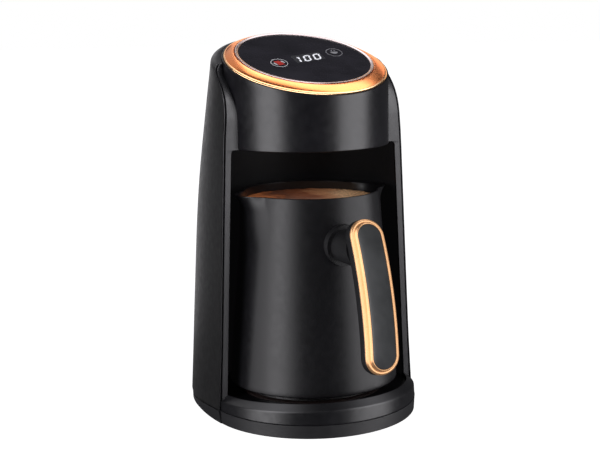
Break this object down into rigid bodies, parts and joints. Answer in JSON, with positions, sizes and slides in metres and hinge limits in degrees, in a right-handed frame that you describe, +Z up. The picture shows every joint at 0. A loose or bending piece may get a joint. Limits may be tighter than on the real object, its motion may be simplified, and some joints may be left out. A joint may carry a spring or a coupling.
{
  "type": "electric turkish coffee maker",
  "caption": "Counter-top electric coffee maker with a round sloping touch panel, a gold trim ring and a lift-out pot that stands on a hot plate inside a front niche.",
  "frame": {"origin": "on the table under the middle of the object, on the pot's upright axis", "axes": "+Z up, -Y towards the front where the handle is, +X to the right of someone facing the front"},
  "size_m": [0.144, 0.2095, 0.2519],
  "materials": {
    "shell_black": "satin moulded black plastic with a fine texture",
    "niche_black": "matt black moulded plastic",
    "drum_black": "smooth satin black plastic",
    "base_black": "satin black plastic",
    "under_black": "coarse black plastic",
    "copper_gold": "copper-gold anodised, brushed",
    "silver_lip": "polished silver-pink edge",
    "panel_glass": "black back-printed touch glass",
    "pot_coat": "satin black baked coating on stainless steel",
    "pot_steel": "brushed stainless steel",
    "grip_black": "matt black phenolic",
    "insert_black": "satin charcoal inlay",
    "plate_alu": "machined cast plate, dark anodised",
    "element_steel": "heat-tinted tubular element",
    "silicone": "red-brown silicone",
    "rubber_black": "soft black rubber",
    "screw_zinc": "zinc-plated",
    "pcb_green": "solder-mask green",
    "part_black": "moulded component",
    "part_blue": "sleeved component",
    "part_yellow": "taped winding",
    "display_face": "smoked display window",
    "ribbon_grey": "grey flat ribbon",
    "spring_steel": "spring wire",
    "window_clear": "clear sensor window"
  },
  "bodies": {
    "housing": {"base_ring": "base_black", "base_screws": "screw_zinc", "board_screws": "screw_zinc", "board_spacers": "screw_zinc", "boil_sensor": "part_black", "bottom_cover": "under_black", "buzzer": "part_black", "control_board": "pcb_green", "controller_chip": "part_black", "cord_gland": "rubber_black", "display_module": "display_face", "filter_capacitor": "part_blue", "front_strip_left": "shell_black", "front_strip_right": "shell_black", "head_cover": "drum_black", "head_screws": "screw_zinc", "head_underside": "niche_black", "heater_relay": "part_blue", "heating_element": "element_steel", "heating_plate": "plate_alu", "niche_liner": "niche_black", "panel_carrier": "part_black", "plate_carrier": "screw_zinc", "plate_seal": "silicone", "power_board": "pcb_green", "rear_shell": "shell_black", "ribbon_cable": "ribbon_grey", "rubber_feet": "rubber_black", "sensor_spring": "spring_steel", "sensor_window": "window_clear", "terminal_block": "part_black", "thermal_fuse": "spring_steel", "touch_panel": "panel_glass", "touch_springs": "spring_steel", "transformer": "part_yellow", "trim_lip": "silver_lip", "trim_ring": "copper_gold"},
    "pot": {"pot_body": "pot_coat", "pot_base": "pot_steel", "handle_stub": "grip_black", "handle_screw": "screw_zinc", "grip_body": "grip_black", "grip_trim": "copper_gold", "grip_insert": "insert_black"},
    "sensor": {"sensor_plunger": "plate_alu"}
  },
  "joints": [
    {"name": "pot_lift", "type": "slide", "parent": "housing", "child": "pot", "axis": [0, -0.9848, 0.1736], "range_m": [0, 0.145]},
    {"name": "sensor_travel", "type": "slide", "parent": "housing", "child": "sensor", "axis": [0, 0, 1], "range_m": [-0.0012, 0], "stiffness_N_per_m": 400, "springref_m": 0.002, "deforming": ["sensor_spring"]}
  ]
}
